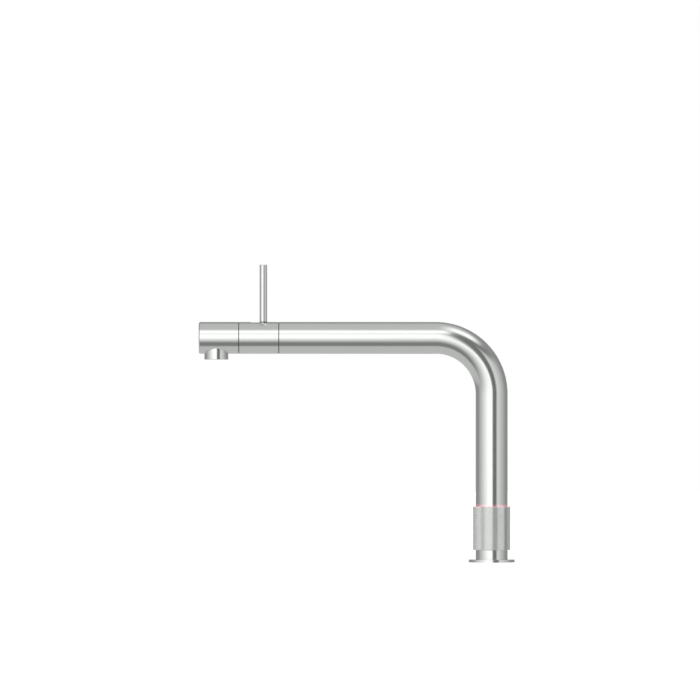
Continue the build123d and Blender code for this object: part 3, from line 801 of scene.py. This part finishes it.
# a pipe up the column, round the bend and out along the arm
def makePipe(name, pipe, foot, end, offset=(0, 0)):
    clearSelection()
    bpy.ops.mesh.primitive_circle_add(vertices=pipe["sides"], radius=pipe["radius"], location=(0, 0, 0))
    piece = bpy.context.active_object
    piece.name = name
    editAll(piece)
    bpy.ops.transform.translate(value=(*offset, foot))
    climb = (bendZ - foot) / pipe["climbs"]
    for step in range(pipe["climbs"]):
        bpy.ops.mesh.extrude_region_move(TRANSFORM_OT_translate={"value": (0, 0, climb)})
    bpy.ops.mesh.spin(
        steps=pipe["bendSteps"], angle=math.radians(90), center=(bendX, 0, bendZ), axis=(0, 1, 0)
    )
    bpy.ops.mesh.extrude_region_move(TRANSFORM_OT_translate={"value": (end - bendX, 0, 0)})
    outwards(piece)
    modify(
        piece, "SOLIDIFY", thickness=pipe["wall"], offset=-1, use_even_offset=True, use_rim=True
    )
    return piece


spout = {
    "radius": tubeRadius,
    "wall": 0.0015,
    "sides": 160,
    "climbs": 1,                 # rows in the upright
    "bendSteps": 72,
    "edge": 0.00012,
}


def makeSpoutTube():
    tube = makePipe("spoutTube", spout, tubeLow.z, tubeLow.x)
    bevelSharp(tube, spout["edge"])
    smooth(tube)
    # the spout's steel carries the painted red glow at its foot
    look = steelLook("spoutSteel", alongTube, glow=paintedFootGlow)
    hand(tube, look, "spout", "spout_tube")


sleeve = {
    "sides": 240,
    "wall": 0.00132,
    "edge": 0.00012,
    "slotWidth": 0.0079,
    "slotFront": -0.242368,      # ends of the lever's slot
    "slotRear": -0.2242,
    "slotSides": 48,
}


# the sleeve with the slot that the lever moves in
def makeMixerSleeve():
    low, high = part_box("mixer_sleeve")
    bore = tubeRadius - sleeve["wall"]
    piece = turnClosed("mixerSleeve", [
        (bore, -high.x), (tubeRadius, -high.x), (tubeRadius, -low.x), (bore, -low.x),
    ], sleeve["sides"])
    layOnArm(piece)
    combine(piece, "DIFFERENCE", makeSlotCutter())
    bevelSharp(piece, sleeve["edge"], 40)
    smooth(piece)
    hand(piece, steelLook("sleeveSteel", alongTube), "mixer_sleeve", "mixer_sleeve")


# a disc pulled out to the slot's length, and up
def makeSlotCutter():
    half = sleeve["slotWidth"] / 2
    front, rear = sleeve["slotFront"] + half, sleeve["slotRear"] - half
    clearSelection()
    bpy.ops.mesh.primitive_circle_add(vertices=sleeve["slotSides"], radius=half, fill_type="NGON")
    cutter = bpy.context.active_object
    editPiece(cutter)
    skin = bmesh.from_edit_mesh(cutter.data)
    for vert in skin.verts:
        vert.select_set(vert.co.x > near)
    bmesh.update_edit_mesh(cutter.data)
    bpy.ops.transform.translate(value=(rear - front, 0, 0))
    bpy.ops.mesh.select_all(action="SELECT")
    bpy.ops.mesh.extrude_region_move(TRANSFORM_OT_translate={"value": (0, 0, 2 * tubeRadius)})
    cutter.location = (front, 0, armHeight)
    settle(cutter)
    outwards(cutter)
    return cutter


nozzle = {
    "sides": 240,
    "wall": 0.0015,
    "end": 0.002,                # thickness of the closed end
    "edge": 0.001,
    "collar": 0.012,             # the outlet collar's radius
    "collarEdge": 0.0004,
    "collarSides": 160,
    "outletPlay": 0.00005,
}


# closed end of the spout with the outlet's collar
def makeNozzleBody():
    low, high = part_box("nozzle_body")
    outletLow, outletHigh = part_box("aerator_housing")
    outletX = (outletLow.x + outletHigh.x) / 2
    outletBore = (outletHigh.x - outletLow.x) / 2 + nozzle["outletPlay"]
    sides, collarSides = nozzle["sides"], nozzle["collarSides"]
    shell = turnRings("nozzleBody", [(tubeRadius, -high.x), (tubeRadius, -low.x)], sides)
    capEnds(shell)
    layOnArm(shell)
    bevelEdges(shell, lambda point: abs(point.x - low.x) < touch, nozzle["edge"], 1)
    collar = makeDisc("collar", nozzle["collar"], low.z, armHeight, outletX, collarSides)
    bevelRim(collar, low.z, nozzle["collarEdge"])
    combine(shell, "UNION", collar)
    bore = makeDisc("bore", tubeRadius - nozzle["wall"], -high.x - overcut, -low.x - nozzle["end"], 0, sides)
    layOnArm(bore)
    outlet = makeDisc("outlet", outletBore, low.z - overcut, armHeight, outletX, collarSides)
    combine(shell, "DIFFERENCE", bore, outlet)
    smooth(shell, 35)
    hand(shell, steelLook("nozzleSteel", alongTube), "spout", "nozzle_body")


lever = {
    "sides": 96,
    "edge": 0.0005,
    "bore": 0.00205,             # for the ball's stem
    "boreDepth": 0.00705,
    "roughness": 0.17,
    "paintedShadow": (-0.0006, 0.0012), # heights over the sleeve's top between which its painted shade ends
}


# painted shadow: the lever's base colour darkens towards its foot, where it stands in the slot
def paintedSlotShadow(shader):
    x, y, z = shader.place()
    low, high = lever["paintedShadow"]
    return shader.ease(z, tubeHigh.z + low, tubeHigh.z + high, 1.0, 0.0)


def makeLeverRod():
    low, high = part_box("lever_rod")
    radius = (high.x - low.x) / 2
    bore, top = lever["bore"], low.z + lever["boreDepth"]
    piece = turnRings("leverRod", [
        (bore, top), (bore, low.z), (radius, low.z), (radius, high.z),
    ], lever["sides"])
    capEnds(piece)
    bevelRim(piece, high.z, lever["edge"])
    smooth(piece, 50)
    piece.location = ((low.x + high.x) / 2, 0, 0)
    # the lever's steel is painted darker at its foot
    look = steelLook("leverSteel", straightUp, roughness=lever["roughness"], paintedShadow=paintedSlotShadow)
    hand(piece, look, "lever", "lever_rod")


flange = {
    "sides": 192,
    "edge": 0.0003,
    "footRadius": 0.02005,       # of the recess for the deck gasket
    "footHeight": 0.00145,
    "neckRadius": 0.01605,
}


def makeBaseFlange():
    low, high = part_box("base_flange")
    neck, foot, recess = flange["neckRadius"], flange["footRadius"], flange["footHeight"]
    piece = turnClosed("baseFlange", [
        (neck, high.z), (neck, recess), (foot, recess), (foot, low.z), (high.x, low.z), (high.x, high.z),
    ], flange["sides"])

    def onOuterRim(point):
        return abs(point.z - high.z) < touch and abs(math.hypot(point.x, point.y) - high.x) < near

    bevelEdges(piece, onOuterRim, flange["edge"], 5)
    smooth(piece, 50)
    hand(piece, steelLook("flangeSteel", roundUpright), "base", "base_flange")


knurl = {
    "around": 78,                # diamonds in one row
    "height": 0.0031,            # a diamond's height
    "groove": 0.000275,          # half a groove's width
    "depth": 0.00024,
    "merge": 0.00002,
    "topEdge": 0.0005,
    "topSteps": 5,
    "footEdge": 0.0004,
    "lip": 0.0006,
    "lipRadius": 0.0164,
    "bore": 0.0175,
    "boreSides": 240,
    "roughness": 0.18,
    # painted light: the ring's steel is drawn this much paler than the other steel
    "lift": 1.07,
}


# one diamond, then rows and columns of it, rolled up into the ring's skin
def makeKnurlSkin(radius, low, high):
    valley = radius - knurl["depth"]
    width, height = 2 * math.pi * valley / knurl["around"], knurl["height"]
    clearSelection()
    bpy.ops.mesh.primitive_circle_add(
        vertices=4, radius=0.5, fill_type="NGON", rotation=(math.radians(90), 0, 0)
    )
    skin = bpy.context.active_object
    skin.name = "controlRing"
    skin.scale = (width, height, 1)
    settle(skin)
    editAll(skin, "FACE")
    bpy.ops.mesh.inset(thickness=knurl["groove"], depth=knurl["depth"])
    bpy.ops.mesh.subdivide(number_cuts=1)
    bpy.ops.mesh.select_all(action="SELECT")
    bpy.ops.mesh.duplicate_move(TRANSFORM_OT_translate={"value": (width / 2, 0, height / 2)})
    bpy.ops.mesh.select_all(action="SELECT")
    bpy.ops.transform.translate(value=(0, 0, low - height / 2))
    repeat(skin, knurl["around"], (width, 0, 0))
    repeat(skin, math.ceil((high - low) / height) + 1, (0, 0, height))
    turn = 2 * math.pi * (knurl["around"] + 0.5) / knurl["around"]
    modify(skin, "SIMPLE_DEFORM", deform_method="BEND", deform_axis="Z", angle=turn)
    editAll(skin)
    bpy.ops.transform.translate(value=(0, -valley, 0))
    bpy.ops.mesh.remove_doubles(threshold=knurl["merge"])
    bpy.ops.mesh.bisect(plane_co=(0, 0, high), plane_no=(0, 0, 1), clear_outer=True)
    bpy.ops.mesh.select_all(action="SELECT")
    bpy.ops.mesh.bisect(plane_co=(0, 0, low), plane_no=(0, 0, -1), clear_outer=True)
    return skin


def pickRim(piece, height):
    pickEdges(piece, lambda point: abs(point.z - height) < near, openOnly=True)


def bridgeRims(piece, height):
    pickRim(piece, height)
    bpy.ops.mesh.bridge_edge_loops()


def capRim(piece, height):
    pickRim(piece, height)
    bpy.ops.mesh.edge_face_add()


def makeControlRing():
    boxLow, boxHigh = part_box("control_ring")
    radius, low, high = boxHigh.x, boxLow.z, boxHigh.z
    foot, top, lip = knurl["footEdge"], knurl["topEdge"], low + knurl["lip"]
    skin = makeKnurlSkin(radius, low + foot, high - top)
    pickRim(skin, low + foot)
    carryOn(radius, low + foot, [(radius - foot, low)])
    turns = [math.radians(90) * step / knurl["topSteps"] for step in range(1, knurl["topSteps"] + 1)]
    pickRim(skin, high - top)
    carryOn(radius, high - top, [
        (radius - top + top * math.cos(turn), high - top + top * math.sin(turn)) for turn in turns
    ])
    inner = turnRings("ringBore", [
        (knurl["lipRadius"], low), (knurl["lipRadius"], lip), (knurl["bore"], lip), (knurl["bore"], high),
    ], knurl["boreSides"])
    join(skin, inner)
    bridgeRims(skin, low)
    bridgeRims(skin, high)
    outwards(skin)
    shadeSmooth(skin, 24)
    # the ring's steel is painted paler, with a painted red glow on its upper rim
    look = steelLook("ringSteel", straightUp, roughness=knurl["roughness"], lift=knurl["lift"], glow=paintedRimGlow)
    hand(skin, look, "control_ring", "control_ring")


screen = {
    "pitch": 0.0011,
    "wire": 0.00012,             # a wire's radius
    "sides": 8,
    "steps": 4,                  # from one crossing to the next
    "wave": 1.04,                # how far a wire swings up and down, in its radii
    "rim": 0.0005,
    "rimSides": 96,
    "hole": 0.00305,             # radius left open for the boiling jet
}


# one wire of the screen, over and under the wires that cross it
def makeWovenWire(crossings):
    pitch, steps = screen["pitch"], screen["steps"]
    clearSelection()
    bpy.ops.mesh.primitive_circle_add(
        vertices=screen["sides"], radius=screen["wire"], location=(0, 0, 0),
        rotation=(0, math.radians(90), 0),
    )
    wire = bpy.context.active_object
    wire.name = "aeratorScreen"
    settle(wire)
    swing = screen["wire"] * screen["wave"]
    heights = [swing * math.cos(math.pi * step / steps) for step in range(crossings * steps + 1)]
    editAll(wire)
    bpy.ops.transform.translate(value=(-crossings * pitch / 2, 0, heights[0]))
    for height, nextHeight in zip(heights, heights[1:]):
        bpy.ops.mesh.extrude_region_move(
            TRANSFORM_OT_translate={"value": (pitch / steps, 0, nextHeight - height)}
        )
    capEnds(wire)
    return wire


# the wire in pairs, a row of pairs, the row again turned across it, and all of it cut round
def makeAeratorScreen():
    low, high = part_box("aerator_mesh")
    outer, thick = (high.x - low.x) / 2, (high.z - low.z) / 2
    pitch = screen["pitch"]
    pairs = math.ceil(outer / pitch) + 2
    weave = makeWovenWire(2 * pairs)
    editAll(weave)
    bpy.ops.mesh.duplicate_move(TRANSFORM_OT_translate={"value": (pitch, pitch, 0)})
    bpy.ops.mesh.select_all(action="SELECT")
    bpy.ops.transform.translate(value=(0, -pairs * pitch, 0))
    repeat(weave, pairs, (0, 2 * pitch, 0))
    editAll(weave)
    bpy.ops.mesh.duplicate()
    bpy.ops.transform.rotate(value=math.radians(90), orient_axis="Z", center_override=(0, 0, 0))
    bpy.ops.transform.translate(value=(pitch, 0, 0))
    hole, reach, above = screen["hole"], outer - screen["rim"] / 2, 2 * thick
    combine(weave, "INTERSECT", turnClosed("round", [
        (hole, -above), (reach, -above), (reach, above), (hole, above),
    ], screen["rimSides"]))
    inner = outer - screen["rim"]
    join(weave, turnClosed("rim", [
        (inner, -thick), (outer, -thick), (outer, thick), (inner, thick),
    ], screen["rimSides"]))
    shadeSmooth(weave, 50)
    weave.location = (low + high) / 2
    hand(weave, looks["plain_steel"], "spout", "aerator_mesh")


thread = {
    "pitch": 0.0015,
    "depth": 0.0009,
    "profile": ((0, 0.15), (1, 0.3), (0, 0.2), (-1, 0.35)),  # depths out and pitches up, step by step
    "steps": 72,                 # round the shank
    "merge": 0.000005,
    "run": 0.0012,               # plain groove over the thread
    "runDepth": 0.001,
    "runOverlap": 0.0003,
    "spigotRadius": 0.01395,
    "spigotHeight": 0.00895,
    "bore": 0.0133,
    "webBore": 0.0104,           # the narrow ring in the bore, which carries the column
    "webHeight": -0.006,
}


# the thread's profile wound down the shank, and cut level at both ends
def makeThreadSkin(radius, low, high):
    pitch, depth = thread["pitch"], thread["depth"]
    clearSelection()
    bpy.ops.mesh.primitive_plane_add(size=pitch)
    skin = bpy.context.active_object
    skin.name = "threadedShank"
    editAll(skin)
    bpy.ops.mesh.merge(type="CENTER")
    bpy.ops.transform.translate(value=(radius - depth, 0, low - pitch))
    for outward, upward in thread["profile"]:
        bpy.ops.mesh.extrude_region_move(
            TRANSFORM_OT_translate={"value": (outward * depth, 0, upward * pitch)}
        )
    modify(
        skin, "SCREW", axis="Z", angle=2 * math.pi, screw_offset=pitch,
        iterations=math.ceil(-low / pitch) + 1, steps=thread["steps"], render_steps=thread["steps"],
        use_merge_vertices=True, merge_threshold=2 * touch,
    )
    editAll(skin)
    bpy.ops.mesh.remove_doubles(threshold=thread["merge"])
    for height, way in ((high, 1), (low, -1)):
        bpy.ops.mesh.select_all(action="SELECT")
        bpy.ops.mesh.bisect(plane_co=(0, 0, height), plane_no=(0, 0, way), clear_outer=True, threshold=touch)
    capRim(skin, low)
    capRim(skin, high)
    outwards(skin)
    return skin


# the shank with its real thread
def makeThreadedShank():
    low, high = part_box("threaded_shank")
    radius, run = high.x, -thread["run"]
    skin = makeThreadSkin(radius, low.z, run)
    root, spigot, top = radius - thread["runDepth"], thread["spigotRadius"], thread["spigotHeight"]
    neck = turnRings("shankNeck", [
        (root, run - thread["runOverlap"]), (root, run), (radius, run / 3), (radius, 0),
        (spigot, 0), (spigot, top),
    ], thread["steps"])
    capEnds(neck)
    combine(skin, "UNION", neck)
    web, steps = thread["webHeight"], thread["steps"]
    bore = makeDisc("bore", thread["bore"], low.z - overcut, web, 0, steps)
    webBore = makeDisc("webBore", thread["webBore"], web - overcut, top + overcut, 0, steps)
    combine(skin, "DIFFERENCE", bore, webBore)
    shadeSmooth(skin, 35)
    hand(skin, looks["brass"], "base", "threaded_shank")


hoses = {
    "radius": 0.004,
    "wall": 0.00125,
    "pitch": 0.0054,             # from the spout's middle line
    "sides": 32,
    "climbs": 60,
    "bendSteps": 40,
    "twist": (-0.036, 0.11),     # heights between which the real hoses twist as the spout swivels
    "angles": {"boiling": 0, "hot": 120, "cold": 240},
}


def makeHoses():
    for water, angle in hoses["angles"].items():
        node = water + "_hose"
        boxLow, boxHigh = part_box(node)
        turn = math.radians(angle)
        offset = (hoses["pitch"] * math.cos(turn), hoses["pitch"] * math.sin(turn))
        hose = makePipe(water + "Hose", hoses, boxLow.z, boxLow.x, offset)
        smooth(hose)
        dress(hose, looks["hose"], node)
        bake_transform(hose)


spring = {
    "wire": 0.0005,              # its wire's radius
    "wireSides": 16,
    "turns": 3.5,
    "steps": 224,
    "seat": 0.022,
    "shortened": 0.5,            # its share of its height with the ring pushed down
}


# the ring's return spring, drawn at its full height; the real one shortens as the ring is pushed
def makePushSpring():
    low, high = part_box("push_spring")
    wire = spring["wire"]
    clearSelection()
    bpy.ops.mesh.primitive_circle_add(
        vertices=spring["wireSides"], radius=wire, location=(high.x - wire, 0, low.z + wire),
        rotation=(math.radians(90), 0, 0),
    )
    piece = bpy.context.active_object
    piece.name = "pushSpring"
    settle(piece)
    modify(
        piece, "SCREW", axis="Z", angle=2 * math.pi * spring["turns"], steps=spring["steps"],
        render_steps=spring["steps"], screw_offset=high.z - low.z - 2 * wire,
    )
    capEnds(piece)
    smooth(piece, 50)
    hand(piece, looks["plain_steel"], "base", "push_spring")
    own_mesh(piece)


makeSpoutTube()
makeMixerSleeve()
makeNozzleBody()
makeLeverRod()
makeBaseFlange()
makeControlRing()
makeAeratorScreen()
makeThreadedShank()
makeHoses()
makePushSpring()
